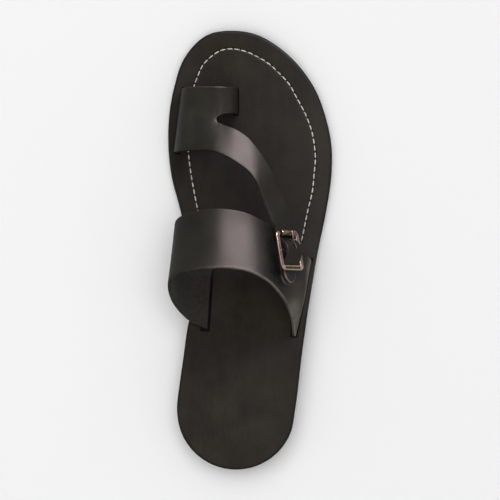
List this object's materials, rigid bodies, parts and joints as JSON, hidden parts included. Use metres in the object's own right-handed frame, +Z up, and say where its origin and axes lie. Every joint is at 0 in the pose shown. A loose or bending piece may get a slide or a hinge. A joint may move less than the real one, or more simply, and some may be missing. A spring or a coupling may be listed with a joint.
{
  "type": "leather slipper",
  "caption": "Right-foot flat leather slipper with a looped toe strap buckled to a wide instep strap, on a stacked leather sole with a low heel.",
  "frame": {"origin": "on the floor, under the middle of the shoe's bounding box", "axes": "+Z up, +Y along the shoe from heel to toe, +X across it towards the outer side of a right foot"},
  "size_m": [0.1047, 0.28, 0.0715],
  "materials": {
    "sole_leather": "matte",
    "insole_leather": "matte",
    "black_leather": "satin",
    "aged_brass": "satin"
  },
  "bodies": {
    "root": {"outsole": "sole_leather", "heel_lift_upper": "sole_leather", "heel_lift_lower": "sole_leather", "insole": "insole_leather", "instep_strap": "black_leather", "toe_strap": "black_leather", "buckle_tab": "black_leather", "buckle_frame": "aged_brass", "buckle_prong": "aged_brass"}
  },
  "joints": []
}
